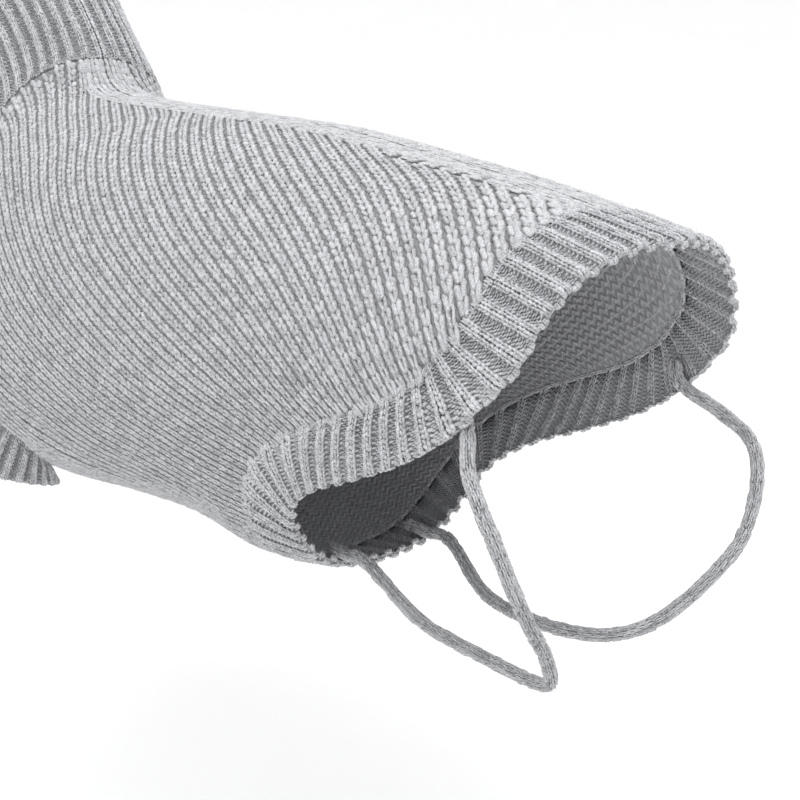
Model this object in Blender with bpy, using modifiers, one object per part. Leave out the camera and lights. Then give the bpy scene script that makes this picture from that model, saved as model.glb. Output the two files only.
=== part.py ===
"""A knitted dog sweater, in the shape it has when it is worn by a small dog.

It is one body tube with a ribbed trim on the hem, a ribbed collar, a ribbed cuff in each front
leg opening and a knitted loop for each hind leg. Every piece is a cloth wall with open hollows.

Frame: +X towards the head, +Y to the wearer's left, +Z up. The origin is on the inside of the
cloth, on the centre line of the back, half way from the hem to the collar seam.
Tables and sizes are in millimetres and MM turns them into metres.
"""

import math

import bmesh
import bpy
import numpy as np

MM = 0.001

# Cloth. Heights are from the skin, which is the outside of plain cloth.
BODY_WALL = 2.0
RIB_RELIEF = 1.3
RIB_VALLEY = -0.65
RIB_INSIDE = -2.35
RIB_SEAM_VALLEY = -0.5
ROUNDED_EDGE = 0.8
SEAM_GAP = 0.3
STRAP_WIDTH = 4.4
STRAP_TUCK = 8.0

# Ribs counted all round each piece. Each rib is a flat crest and a V-shaped valley.
HEM_RIBS = 64
COLLAR_RIBS = 46
CUFF_RIBS = 22
CREST_SHARE = 0.52

# Rings of the body tube. It has a column for each rib of the hem. Its ends stand off the
# seams by these parts of a section, which leave SEAM_GAP or a little more.
BODY_ROWS = 21
HEM_SEAM_STEP = 0.012
NECK_SEAM_STEP = 0.05

# A section is an oval between a top point on the back and a bottom point on the chest.
CORNER = 0.88
BELLY_SHARE = 0.52

# columns: top_x, top_z, half_width, bottom_x, bottom_z. A row per section, from tail to neck.
SECTIONS = (
    (-172.0, -20.0, 53.5, -172.0, -135.0),
    (-109.0, -9.3, 61.8, -109.0, -140.0),
    (-49.0, -2.5, 66.9, -49.0, -150.0),
    (0.0, 2.0, 69.8, -2.0, -160.0),
    (51.0, 3.2, 71.5, 48.0, -164.0),
    (96.0, 3.8, 72.6, 98.0, -168.5),
    (128.0, 4.4, 72.8, 142.0, -174.0),
    (146.0, 5.4, 70.5, 178.0, -174.0),
    (157.0, 8.0, 64.0, 208.0, -158.0),
    (163.0, 13.0, 56.5, 227.0, -126.0),
    (167.0, 20.0, 50.0, 235.0, -92.0),
    (174.0, 30.0, 47.0, 243.0, -79.0),
    (187.0, 44.0, 46.0, 257.0, -64.0),
    (203.0, 59.0, 48.0, 273.0, -49.0),
)
NECK_SECTION = 10
COLLAR_END_SECTION = 13

# The loose belly edge hangs below its section. columns: x, drop
BELLY_SAG = (
    (-70.0, 8.0),
    (-41.0, 9.5),
    (-20.0, 9.0),
    (-2.0, 7.5),
    (14.0, 3.5),
    (30.0, 0.8),
    (50.0, 0.0),
)
SAG_FROM = 118.0
SAG_FULL = 160.0

# Soft folds on the body tube, low where height is negative. turn is the way a fold runs, in
# degrees from the line of the back. columns: x, angle, length, width, turn, height
FOLDS = (
    (140.0, 108.0, 34.0, 8.0, 58.0, 1.3),
    (120.0, 122.0, 30.0, 7.0, 38.0, -1.1),
    (104.0, 138.0, 26.0, 8.0, 20.0, 1.2),
    (152.0, 84.0, 26.0, 9.0, 66.0, -0.9),
    (138.0, 254.0, 38.0, 8.0, -52.0, 1.4),
    (116.0, 240.0, 27.0, 7.0, -34.0, -1.2),
    (98.0, 226.0, 30.0, 8.0, -16.0, 1.1),
    (158.0, 282.0, 24.0, 9.0, -70.0, -1.0),
    (60.0, 172.0, 44.0, 9.0, 4.0, 1.2),
    (20.0, 192.0, 36.0, 8.0, -6.0, -1.2),
    (-4.0, 166.0, 26.0, 8.0, 12.0, -1.3),
)
MM_PER_DEGREE = 1.3

# Trim from the centre of the back (0 degrees) to the centre of the belly (180 degrees).
# lean is how far, in rows, the seam end of a rib lies behind its hem end, and pitch is the
# width of a rib there, larger where the hip stretches the trim.
# columns: hem_angle, hem_x, seam_angle, seam_x, lean, pitch
TRIM = (
    (0.0, -167.0, 0.0, -135.0, 0.00, 7.2),
    (30.0, -162.0, 30.0, -134.0, 0.12, 7.2),
    (57.0, -157.0, 56.0, -134.0, 0.12, 7.4),
    (75.0, -153.0, 70.0, -131.0, 0.05, 9.6),
    (88.0, -142.0, 78.0, -125.5, 0.00, 12.0),
    (99.0, -126.0, 86.0, -119.0, 0.08, 11.0),
    (108.0, -109.0, 93.0, -104.0, 0.28, 9.2),
    (116.0, -88.0, 99.0, -84.0, 0.36, 8.8),
    (124.0, -63.0, 107.0, -58.0, 0.34, 8.0),
    (132.0, -48.0, 119.0, -34.0, 0.24, 6.8),
    (145.0, -42.5, 140.0, -19.0, 0.10, 6.6),
    (180.0, -41.0, 180.0, -16.0, 0.00, 7.0),
)

# Front leg openings, in the lower sides of the chest
LEG_SECTION = 7.0
LEG_ANGLE = 144.0
LEG_HALF_LENGTH = 24.5
LEG_HALF_ARC = 15.5
CUFF_END = (178.5, 45.5, -174.5)
CUFF_END_TILT = 16.0
CUFF_END_RADIUS = 24.5
CUFF_SEAM_INSET = 0.4
CUFF_SEAM_WALL = 2.2
CUTTER_REACH = 6.0

# Centre line of a hind leg loop, from the side of the hem, round behind the thigh and forward
# between the legs to the belly. right_lift is how much higher the right loop has ridden up.
# columns: x, y, z, right_lift
LOOP_ROUTE = (
    (-146.0, 63.2, -87.2, 0.0),
    (-155.8, 67.4, -95.2, 0.0),
    (-161.3, 65.4, -106.0, 0.0),
    (-163.9, 59.9, -119.2, 0.0),
    (-163.7, 52.4, -131.1, 0.5),
    (-158.5, 36.9, -148.1, 2.5),
    (-151.0, 24.5, -163.3, 7.5),
    (-137.0, 17.0, -170.5, 8.0),
    (-112.0, 15.0, -171.5, 5.0),
    (-82.0, 17.0, -168.0, 2.0),
)
LOOP_HEM_ROW = 4.45
LOOP_BELLY_ANGLE = 163.0
LOOP_BELLY_RUN = (-16.0, -3.0, STRAP_TUCK)
LOOP_SPACING = 9.5
FINE_STEPS = 600


def spline(table, position):
    """Rows of a table read at fractional positions, as a smooth curve through every row."""
    rows = np.asarray(table, float)
    position = np.asarray(position, float)
    first = 2 * rows[0] - rows[1]
    last = 2 * rows[-1] - rows[-2]
    rows = np.vstack([first, rows, last])
    index = np.clip(np.floor(position).astype(int), 0, len(table) - 2)
    part = (position - index)[..., None]
    a, b, c, d = rows[index], rows[index + 1], rows[index + 2], rows[index + 3]
    bend = (2 * a - 5 * b + 4 * c - d) * part**2 + (3 * b - a - 3 * c + d) * part**3
    return 0.5 * (2 * b + (c - a) * part + bend)


def smooth_step(low, high, value):
    part = np.clip((value - low) / (high - low), 0.0, 1.0)
    return part * part * (3 - 2 * part)


def outside(section, angle):
    """Points on the outside of the cloth. angle is from the top of the back, in degrees."""
    section, angle = np.broadcast_arrays(np.asarray(section, float), np.asarray(angle, float))
    top_x, top_z, half_width, bottom_x, bottom_z = np.moveaxis(spline(SECTIONS, section), -1, 0)
    turn = np.radians(angle)
    across = np.sign(np.sin(turn)) * np.abs(np.sin(turn)) ** CORNER
    rise = np.sign(np.cos(turn)) * np.abs(np.cos(turn)) ** CORNER
    level = BELLY_SHARE + np.where(rise > 0, 1 - BELLY_SHARE, BELLY_SHARE) * rise
    x = bottom_x + (top_x - bottom_x) * level
    z = bottom_z + (top_z - bottom_z) * level
    sag_x, sag_drop = np.transpose(BELLY_SAG)
    hang = smooth_step(SAG_FROM, SAG_FULL, np.abs((angle + 180) % 360 - 180))
    z = z - np.interp(x, sag_x, sag_drop) * hang
    return np.stack([x, half_width * across, z], axis=-1)


def outward(section, angle):
    """Unit normals of outside(), pointing away from the wearer."""
    along = outside(section + 0.02, angle) - outside(section - 0.02, angle)
    around = outside(section, angle + 0.5) - outside(section, angle - 0.5)
    normal = np.cross(along, around)
    return normal / np.linalg.norm(normal, axis=-1, keepdims=True)


def fold_height(x, angle):
    """Height of the folds at places on the cloth."""
    height = np.zeros(np.shape(x))
    for fold_x, fold_angle, length, width, turn, rise in FOLDS:
        along = x - fold_x
        around = ((angle - fold_angle + 180) % 360 - 180) * MM_PER_DEGREE
        cosine, sine = math.cos(math.radians(turn)), math.sin(math.radians(turn))
        run = (along * cosine - around * sine) / length
        cross = (along * sine + around * cosine) / width
        height += rise * np.exp(-(run**2) - cross**2)
    return height


def skin(section, angle, lift=0.0):
    """Points at a height above (or, if negative, below) the folded outside of the cloth."""
    section, angle = np.broadcast_arrays(np.asarray(section, float), np.asarray(angle, float))
    place = outside(section, angle)
    lift = lift + fold_height(place[..., 0], angle)
    return place + outward(section, angle) * lift[..., None]


def section_at(x, angle):
    """The section whose point at this angle has this x, for arrays of the same shape."""
    trial = np.linspace(0.0, NECK_SECTION, FINE_STEPS)
    found = [np.interp(a, outside(trial, b)[:, 0], trial) for a, b in zip(x, angle)]
    return np.array(found)


def rib_columns(count):
    """Column places in ribs, and 1 on a crest or 0 in a valley."""
    half = CREST_SHARE / 2
    places = [rib + offset for rib in range(count) for offset in (-half, half, 0.5)]
    return np.array(places), np.tile([1.0, 1.0, 0.0], count)


def rib_counts():
    """Rows of TRIM in small steps, and the ribs from the top of the back to each of them."""
    rows = np.linspace(0, len(TRIM) - 1, FINE_STEPS)
    table = spline(TRIM, rows)
    hem = outside(section_at(table[:, 1], table[:, 0]), table[:, 0])
    step = np.linalg.norm(np.diff(hem, axis=0), axis=1)
    ribs = np.concatenate([[0.0], np.cumsum(step / table[1:, 5])])
    return rows, ribs * HEM_RIBS / 2 / ribs[-1]


def seam_line():
    """Section and angle where each whole rib meets the body tube, all round from the top."""
    rows, ribs = rib_counts()
    row = np.interp(np.arange(HEM_RIBS // 2 + 1), ribs, rows)
    table = spline(TRIM, np.clip(row - spline(TRIM, row)[:, 4], 0, None))
    section = section_at(table[:, 3], table[:, 2])
    section = np.concatenate([section, section[-2:0:-1]])
    return section, np.concatenate([table[:, 2], 360.0 - table[-2:0:-1, 2]])


def trim_curves():
    """Hem and seam ends of every column of the trim, as sections and angles."""
    rows, ribs = rib_counts()
    places, crest = rib_columns(HEM_RIBS)
    near = np.minimum(places, HEM_RIBS - places)
    hem = spline(TRIM, np.interp(np.abs(near), ribs, rows))
    hem_section = section_at(hem[:, 1], hem[:, 0])
    first_half = (places > 0) & (places <= HEM_RIBS / 2)
    hem_angle = np.where(first_half, hem[:, 0], 360.0 - hem[:, 0])
    hem_angle = np.where(places < 0, -hem[:, 0], hem_angle)
    knot_section, knot_angle = seam_line()
    knots = np.arange(-1, HEM_RIBS + 1)
    knot_section = knot_section[knots % HEM_RIBS]
    knot_angle = knot_angle[knots % HEM_RIBS] + 360.0 * np.floor(knots / HEM_RIBS)
    seam_section = np.interp(places, knots, knot_section)
    seam_angle = np.interp(places, knots, knot_angle)
    return hem_section, hem_angle, seam_section, seam_angle, crest


def add_mesh(name, points, faces, material, collection):
    mesh = bpy.data.meshes.new(name)
    mesh.from_pydata([tuple(point) for point in np.asarray(points) * MM], [], faces)
    solid = bpy.data.objects.new(name, mesh)
    collection.objects.link(solid)
    if material:
        mesh.materials.append(material)
    tidy = bmesh.new()
    tidy.from_mesh(mesh)
    bmesh.ops.recalc_face_normals(tidy, faces=tidy.faces)
    tidy.to_mesh(mesh)
    tidy.free()
    return solid


def ring_faces(rings, count, closed):
    """Quads between successive rings of points. closed also joins the last ring to the first."""
    faces = []
    for ring in range(rings if closed else rings - 1):
        base = ring * count
        above = (ring + 1) % rings * count
        for i in range(count):
            j = (i + 1) % count
            faces.append((base + i, base + j, above + j, above + i))
    return faces


def tube_wall(name, outer, inner, material, collection):
    """A closed wall between two tubes of rings that share their columns."""
    rings = np.concatenate([outer, inner[::-1]])
    faces = ring_faces(len(rings), rings.shape[1], True)
    return add_mesh(name, rings.reshape(-1, 3), faces, material, collection)


def knit_material(name, colour, roughness):
    material = bpy.data.materials.new(name)
    material.use_nodes = True
    shader = material.node_tree.nodes["Principled BSDF"]
    shader.inputs["Base Color"].default_value = (*colour, 1.0)
    shader.inputs["Roughness"].default_value = roughness
    shader.inputs["Metallic"].default_value = 0.0
    return material


def hide_cutter(cutter):
    cutter.hide_render = True
    cutter.display_type = "WIRE"


def body_panel(material, collection):
    """The tube from the hem seam to the neck, as a sheet made solid inwards."""
    start, angle = seam_line()
    run = NECK_SECTION - start
    share = np.linspace(0.0, 1.0, BODY_ROWS)[:, None]
    section = start + HEM_SEAM_STEP + share * (run - HEM_SEAM_STEP)
    rings = skin(section, np.broadcast_to(angle, section.shape))
    faces = ring_faces(BODY_ROWS, HEM_RIBS, False)
    panel = add_mesh("body_panel", rings.reshape(-1, 3), faces, material, collection)
    wall = panel.modifiers.new("cloth", "SOLIDIFY")
    wall.thickness = BODY_WALL * MM
    wall.offset = -1.0
    return panel


def leg_ring(side, inset, lift):
    """A ring round a front leg opening, pulled in by inset mm and lifted off the cloth."""
    places, _ = rib_columns(CUFF_RIBS)
    turn = places * 2 * math.pi / CUFF_RIBS
    step = np.linalg.norm(outside(LEG_SECTION + 0.1, LEG_ANGLE) - outside(LEG_SECTION, LEG_ANGLE))
    arc = np.linalg.norm(outside(LEG_SECTION, LEG_ANGLE + 1) - outside(LEG_SECTION, LEG_ANGLE))
    half_sections = (LEG_HALF_LENGTH - inset) * 0.1 / step
    half_angle = LEG_HALF_ARC - inset / arc
    section = LEG_SECTION + half_sections * np.cos(turn)
    angle = side * (LEG_ANGLE - half_angle * np.sin(turn))
    return skin(section, angle, lift)


def leg_cutter(name, side, collection):
    """A plug through the cloth that follows the ring of a front leg opening."""
    inner = leg_ring(side, 0.0, -BODY_WALL - CUTTER_REACH)
    outer = leg_ring(side, 0.0, CUTTER_REACH)
    count = len(inner)
    faces = ring_faces(2, count, False)
    faces.append(tuple(range(count)))
    faces.append(tuple(range(count, 2 * count)))
    cutter = add_mesh(name, np.concatenate([inner, outer]), faces, None, collection)
    hide_cutter(cutter)
    return cutter


def cut_opening(panel, cutter):
    opening = panel.modifiers.new("leg opening", "BOOLEAN")
    opening.operation = "DIFFERENCE"
    opening.solver = "EXACT"
    opening.object = cutter


def hem_rib(material, collection):
    """The trim from the hem seam to the hem, ribbed outside and plain inside."""
    hem_section, hem_angle, seam_section, seam_angle, crest = trim_curves()
    edge = SEAM_GAP / np.linalg.norm(
        outside(hem_section, hem_angle) - outside(seam_section, seam_angle), axis=1
    )

    def ring(share, lift):
        share = np.maximum(share, edge)
        section = seam_section + (hem_section - seam_section) * share
        return skin(section, seam_angle + (hem_angle - seam_angle) * share, lift)

    raised = RIB_VALLEY + RIB_RELIEF * crest
    outer = [ring(0.0, RIB_SEAM_VALLEY * (1 - crest))]
    outer += [ring(share, raised) for share in (0.16, 0.55, 0.90)]
    outer.append(ring(1.0, raised - ROUNDED_EDGE))
    inner = [ring(share, RIB_INSIDE) for share in (0.0, 0.35, 0.70, 0.97)]
    return tube_wall("hem_rib", outer, inner, material, collection)


def collar(material, collection):
    """The stand collar, ribbed outside and plain inside."""
    places, crest = rib_columns(COLLAR_RIBS)
    angle = places * 360.0 / COLLAR_RIBS
    start = NECK_SECTION + NECK_SEAM_STEP
    run = COLLAR_END_SECTION - start
    raised = RIB_VALLEY + RIB_RELIEF * crest
    outer = [skin(start, angle, RIB_SEAM_VALLEY * (1 - crest))]
    outer += [skin(start + run * share, angle, raised) for share in (0.08, 0.3, 0.55, 0.8, 0.96)]
    outer.append(skin(start + run, angle, raised - ROUNDED_EDGE))
    inner = [skin(start + run * share, angle, RIB_INSIDE) for share in (0.0, 0.3, 0.6, 0.98)]
    return tube_wall("collar", outer, inner, material, collection)


def cuff_end_ring(side, radius, slide):
    """A ring of the tilted free end of a cuff, slid back up the leg by slide mm."""
    places, _ = rib_columns(CUFF_RIBS)
    turn = places * 2 * math.pi / CUFF_RIBS
    tilt = math.radians(CUFF_END_TILT)
    centre = np.array([CUFF_END[0], side * CUFF_END[1], CUFF_END[2]])
    out = np.array([0.0, side * math.cos(tilt), math.sin(tilt)])
    up = np.array([-0.1, -side * math.sin(tilt), math.cos(tilt)])
    along = np.array([1.0, 0.0, 0.0])
    radius = np.asarray(radius)[..., None]
    plane = along * np.cos(turn)[:, None] + out * np.sin(turn)[:, None]
    return centre + up * slide + radius * plane


def cuff(name, side, material, collection):
    """A short ribbed tube from a front leg opening down the leg."""
    _, crest = rib_columns(CUFF_RIBS)
    radius = CUFF_END_RADIUS + RIB_VALLEY + RIB_RELIEF * crest
    seam = leg_ring(side, CUFF_SEAM_INSET, 0.0)
    free = cuff_end_ring(side, radius, 0.0)
    seam_inner = leg_ring(side, CUFF_SEAM_INSET + CUFF_SEAM_WALL, -BODY_WALL)
    free_inner = cuff_end_ring(side, np.full(len(crest), CUFF_END_RADIUS + RIB_INSIDE), 0.0)
    outer = [leg_ring(side, CUFF_SEAM_INSET, -BODY_WALL)]
    outer += [seam + (free - seam) * share for share in (0.0, 0.3, 0.62, 0.92)]
    outer.append(cuff_end_ring(side, radius - ROUNDED_EDGE, -ROUNDED_EDGE / 2))
    inner = [seam_inner + (free_inner - seam_inner) * share for share in (0.0, 0.35, 0.7, 1.0)]
    return tube_wall(name, outer, inner, material, collection)


def loop_points(side):
    """The whole centre line of a loop, with an end tucked under the trim at the hem and belly."""
    offset = RIB_INSIDE - 2 * SEAM_GAP - STRAP_WIDTH / 2
    hem = spline(TRIM, LOOP_HEM_ROW)
    hem_section = section_at([hem[1]], [hem[0]])[0]
    seam_section = section_at([hem[3]], [hem[2]])[0]
    width = np.linalg.norm(outside(hem_section, hem[0]) - outside(seam_section, hem[2]))
    side_end = []
    for share in (1 - STRAP_TUCK / width, 1.0):
        section = seam_section + (hem_section - seam_section) * share
        side_end.append(skin(section, hem[2] + (hem[0] - hem[2]) * share, offset))
    belly_x = np.interp(LOOP_BELLY_ANGLE, [row[0] for row in TRIM], [row[1] for row in TRIM])
    belly_section = section_at([belly_x], [LOOP_BELLY_ANGLE])[0]
    belly = skin(belly_section, LOOP_BELLY_ANGLE, offset)
    belly_end = [belly + [run, 0.0, 0.0] for run in LOOP_BELLY_RUN]
    route = np.array(LOOP_ROUTE)
    if side < 0:
        route[:, 2] += route[:, 3]
    return np.concatenate([side_end, route[:, :3], belly_end]) * [1.0, side, 1.0]


def even_points(points, spacing):
    """Points at equal steps along the smooth curve through the given ones."""
    fine = spline(points, np.linspace(0, len(points) - 1, 800))
    length = np.concatenate([[0.0], np.cumsum(np.linalg.norm(np.diff(fine, axis=0), axis=1))])
    marks = np.linspace(0, length[-1], int(round(length[-1] / spacing)) + 1)
    return np.stack([np.interp(marks, length, fine[:, axis]) for axis in range(3)], axis=-1)


def leg_loop(name, side, material, collection):
    route = even_points(loop_points(side), LOOP_SPACING) * MM
    curve = bpy.data.curves.new(name, "CURVE")
    curve.dimensions = "3D"
    curve.bevel_depth = STRAP_WIDTH / 2 * MM
    curve.bevel_resolution = 2
    curve.use_fill_caps = True
    line = curve.splines.new("POLY")
    line.points.add(len(route) - 1)
    for point, place in zip(line.points, route):
        point.co = (*place, 1.0)
    curve.materials.append(material)
    strap = bpy.data.objects.new(name, curve)
    collection.objects.link(strap)
    return strap


def main():
    for old in list(bpy.data.objects):
        bpy.data.objects.remove(old, do_unlink=True)
    sweater = bpy.data.collections.new("dog_sweater")
    cutters = bpy.data.collections.new("dog_sweater_cutters")
    bpy.context.scene.collection.children.link(sweater)
    bpy.context.scene.collection.children.link(cutters)
    body_knit = knit_material("body knit", (0.48, 0.49, 0.50), 0.92)
    rib_knit = knit_material("rib knit", (0.45, 0.46, 0.48), 0.93)
    strap_knit = knit_material("strap knit", (0.42, 0.43, 0.44), 0.93)
    panel = body_panel(body_knit, sweater)
    for name, side in (("left", 1), ("right", -1)):
        cut_opening(panel, leg_cutter(f"leg_cutter_{name}", side, cutters))
        cuff(f"cuff_{name}", side, rib_knit.copy(), sweater)
        leg_loop(f"leg_loop_{name}", side, strap_knit.copy(), sweater)
    hem_rib(rib_knit.copy(), sweater)
    collar(rib_knit, sweater)


main()
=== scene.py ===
"""The looks of a knitted dog sweater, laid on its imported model.

Each piece is a thin closed cloth with its stitches on it. A stitch is two small plump legs of
yarn in a V, or in a rib's valley a bar, and each is a closed grain in a joined mesh. On the body
the columns of stitches (wales) run down and back from a straight strip along the back.

Lengths are in millimetres until a mesh is made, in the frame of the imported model:
+X towards the head, +Y to the wearer's left, +Z up.
"""

import math

import bpy
import numpy as np
from mathutils import Matrix, Vector, kdtree


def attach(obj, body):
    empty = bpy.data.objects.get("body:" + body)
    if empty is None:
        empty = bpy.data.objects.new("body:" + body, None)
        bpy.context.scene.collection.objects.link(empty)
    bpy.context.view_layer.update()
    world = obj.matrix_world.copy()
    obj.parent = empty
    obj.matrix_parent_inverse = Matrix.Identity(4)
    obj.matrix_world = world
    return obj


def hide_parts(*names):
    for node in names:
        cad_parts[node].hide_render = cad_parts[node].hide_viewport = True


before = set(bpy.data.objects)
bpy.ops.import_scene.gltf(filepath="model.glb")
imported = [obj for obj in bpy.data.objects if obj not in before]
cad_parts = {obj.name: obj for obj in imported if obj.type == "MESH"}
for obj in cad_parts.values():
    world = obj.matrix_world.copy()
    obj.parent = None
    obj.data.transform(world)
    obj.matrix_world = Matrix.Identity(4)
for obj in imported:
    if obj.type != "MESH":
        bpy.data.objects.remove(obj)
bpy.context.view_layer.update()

MM = 0.001
# Each knitted or fibre piece adds its own number to this.
SEED = 7

# ---- form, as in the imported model, in millimetres and degrees

BODY_WALL = 2.0
RIB_RELIEF = 1.3
RIB_VALLEY = -0.65
RIB_INSIDE = -2.35
SEAM_GAP = 0.3
STRAP_WIDTH = 4.4
STRAP_TUCK = 8.0
HEM_RIBS = 64
COLLAR_RIBS = 46
CUFF_RIBS = 22
CORNER = 0.88
BELLY_SHARE = 0.52

# columns: top_x, top_z, half_width, bottom_x, bottom_z. A row per section, from tail to neck.
SECTIONS = (
    (-172, -20, 53.5, -172, -135), (-109, -9.3, 61.8, -109, -140),
    (-49, -2.5, 66.9, -49, -150), (0, 2, 69.8, -2, -160),
    (51, 3.2, 71.5, 48, -164), (96, 3.8, 72.6, 98, -168.5),
    (128, 4.4, 72.8, 142, -174), (146, 5.4, 70.5, 178, -174),
    (157, 8, 64, 208, -158), (163, 13, 56.5, 227, -126),
    (167, 20, 50, 235, -92), (174, 30, 47, 243, -79),
    (187, 44, 46, 257, -64), (203, 59, 48, 273, -49),
)
NECK_SECTION = 10
COLLAR_END_SECTION = 13
NECK_TUCK = 0.05

# How far the belly hangs below the sections.
# columns: x, drop
BELLY_SAG = (
    (-70, 8), (-41, 9.5), (-20, 9), (-2, 7.5),
    (14, 3.5), (30, 0.8), (50, 0),
)
SAG_FROM = 118.0
SAG_FULL = 160.0

# Soft folds round the front legs and the belly.
# columns: x, angle, length, width, turn, height
FOLDS = (
    (140, 108, 34, 8, 58, 1.3), (120, 122, 30, 7, 38, -1.1),
    (104, 138, 26, 8, 20, 1.2), (152, 84, 26, 9, 66, -0.9),
    (138, 254, 38, 8, -52, 1.4), (116, 240, 27, 7, -34, -1.2),
    (98, 226, 30, 8, -16, 1.1), (158, 282, 24, 9, -70, -1),
    (60, 172, 44, 9, 4, 1.2), (20, 192, 36, 8, -6, -1.2),
    (-4, 166, 26, 8, 12, -1.3),
)
MM_PER_DEGREE = 1.3

# The hem trim from the top of the back to the belly.
# columns: hem_angle, hem_x, seam_angle, seam_x, lean, pitch
TRIM = (
    (0, -167, 0, -135, 0.0, 7.2), (30, -162, 30, -134, 0.12, 7.2),
    (57, -157, 56, -134, 0.12, 7.4), (75, -153, 70, -131, 0.05, 9.6),
    (88, -142, 78, -125.5, 0.0, 12), (99, -126, 86, -119, 0.08, 11),
    (108, -109, 93, -104, 0.28, 9.2), (116, -88, 99, -84, 0.36, 8.8),
    (124, -63, 107, -58, 0.34, 8), (132, -48, 119, -34, 0.24, 6.8),
    (145, -42.5, 140, -19, 0.10, 6.6), (180, -41, 180, -16, 0.0, 7),
)

# The front leg opening and its cuff.
LEG_SECTION = 7.0
LEG_ANGLE = 144.0
LEG_HALF_LENGTH = 24.5
LEG_HALF_ARC = 15.5
CUFF_END = (178.5, 45.5, -174.5)
CUFF_END_TILT = 16.0
CUFF_END_RADIUS = 24.5
CUFF_SEAM_INSET = 0.4

# The hind leg loop, and how much higher it is on the right.
# columns: x, y, z, right_lift
LOOP_ROUTE = (
    (-146, 63.2, -87.2, 0), (-155.8, 67.4, -95.2, 0), (-161.3, 65.4, -106, 0),
    (-163.9, 59.9, -119.2, 0), (-163.7, 52.4, -131.1, 0.5), (-158.5, 36.9, -148.1, 2.5),
    (-151, 24.5, -163.3, 7.5), (-137, 17, -170.5, 8), (-112, 15, -171.5, 5),
    (-82, 17, -168, 2),
)
LOOP_HEM_ROW = 4.45
LOOP_BELLY_ANGLE = 163.0
LOOP_BELLY_RUN = (-16.0, -3.0, STRAP_TUCK)

# Steps along the sections, and the steps that slopes are measured over.
FINE_STEPS = 600
SECTION_STEP = 0.02
NORMAL_TURN = 0.5
FOLDED_TURN = 0.7

# ---- knit

# A wale is a column of stitches and a course a row.
WALE = 4.85
COURSE = 3.3
RIB_COURSE = 1.8
STRIP_HALF_ANGLE = 8.0
STRIP_WALES = 2
MARK_EVERY = 3

# How far a wale turns down from the line of the back, in degrees.
# columns: x, angle, turn
WALE_TURN = (
    (-125, 10, 33.3), (-70, 10, 21.6), (0, 10, 29.9), (120, 10, 26),
    (-114, 26, 40), (-128, 38, 51.4), (-28, 16, 29.6), (-51, 25, 28.1),
    (-69, 35, 35), (-82, 43, 35.5), (-93, 50, 44.8), (-102, 57, 52.1),
    (-109, 65, 66.9), (-117, 76, 74.6), (50, 41, 41.5), (21, 55, 39.1),
    (-2, 65, 35.9), (-23, 74, 34.7), (-44, 82, 43.3), (-61, 89, 50.6),
    (-74, 95, 65.2), (120, 60, 58.6), (98, 75, 53.9), (81, 86, 42),
    (60, 93, 34.8), (35, 101, 34.9), (12, 107, 27.8), (-12, 113, 23.7),
    (150, 40, 42.3), (170, 90, 31.9), (-30, 140, 25.2), (40, 135, 5.4),
    (120, 120, 22.4), (100, 160, 0), (0, 165, 3.6), (190, 150, 0),
)
# The reach in mm of a row of WALE_TURN, and the small weight that it keeps far off.
TURN_REACH = 17.0
FAR_WEIGHT = 1e-4
FAR_REACH = 100.0
GRID_ROWS = 150
GRID_COLUMNS = 170
SOLVER_STEPS = 2500
SOLVED = 1e-9
# How firmly one wale keeps to the line of the belly.
BELLY_LEVEL = 60.0


def spline(table, position):
    """Rows of a table read at fractional positions, as a smooth curve through every row."""
    rows = np.asarray(table, float)
    position = np.asarray(position, float)
    first = 2 * rows[0] - rows[1]
    last = 2 * rows[-1] - rows[-2]
    rows = np.vstack([first, rows, last])
    index = np.clip(np.floor(position).astype(int), 0, len(table) - 2)
    part = (position - index)[..., None]
    a, b, c, d = rows[index], rows[index + 1], rows[index + 2], rows[index + 3]
    bend = (2 * a - 5 * b + 4 * c - d) * part**2 + (3 * b - a - 3 * c + d) * part**3
    return 0.5 * (2 * b + (c - a) * part + bend)


def run_along(points):
    """The length along a line up to each of its points."""
    step = np.linalg.norm(np.diff(points, axis=0), axis=1)
    return np.concatenate([[0.0], np.cumsum(step)])


def smooth_step(low, high, value):
    part = np.clip((value - low) / (high - low), 0.0, 1.0)
    return part * part * (3 - 2 * part)


def unit(vectors):
    return vectors / np.maximum(np.linalg.norm(vectors, axis=-1, keepdims=True), 1e-9)


def outside(section, angle):
    """Points on the outside of the cloth. angle is from the top of the back, in degrees."""
    section, angle = np.broadcast_arrays(np.asarray(section, float), np.asarray(angle, float))
    top_x, top_z, half_width, bottom_x, bottom_z = np.moveaxis(spline(SECTIONS, section), -1, 0)
    turn = np.radians(angle)
    across = np.sign(np.sin(turn)) * np.abs(np.sin(turn)) ** CORNER
    rise = np.sign(np.cos(turn)) * np.abs(np.cos(turn)) ** CORNER
    level = BELLY_SHARE + np.where(rise > 0, 1 - BELLY_SHARE, BELLY_SHARE) * rise
    x = bottom_x + (top_x - bottom_x) * level
    z = bottom_z + (top_z - bottom_z) * level
    sag_x, sag_drop = np.transpose(BELLY_SAG)
    hang = smooth_step(SAG_FROM, SAG_FULL, np.abs((angle + 180) % 360 - 180))
    z = z - np.interp(x, sag_x, sag_drop) * hang
    return np.stack([x, half_width * across, z], axis=-1)


def outward(section, angle, surface=outside, turn=NORMAL_TURN):
    """Unit normals of a surface, pointing away from the wearer."""
    along = surface(section + SECTION_STEP, angle) - surface(section - SECTION_STEP, angle)
    around = surface(section, angle + turn) - surface(section, angle - turn)
    return unit(np.cross(along, around))


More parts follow.
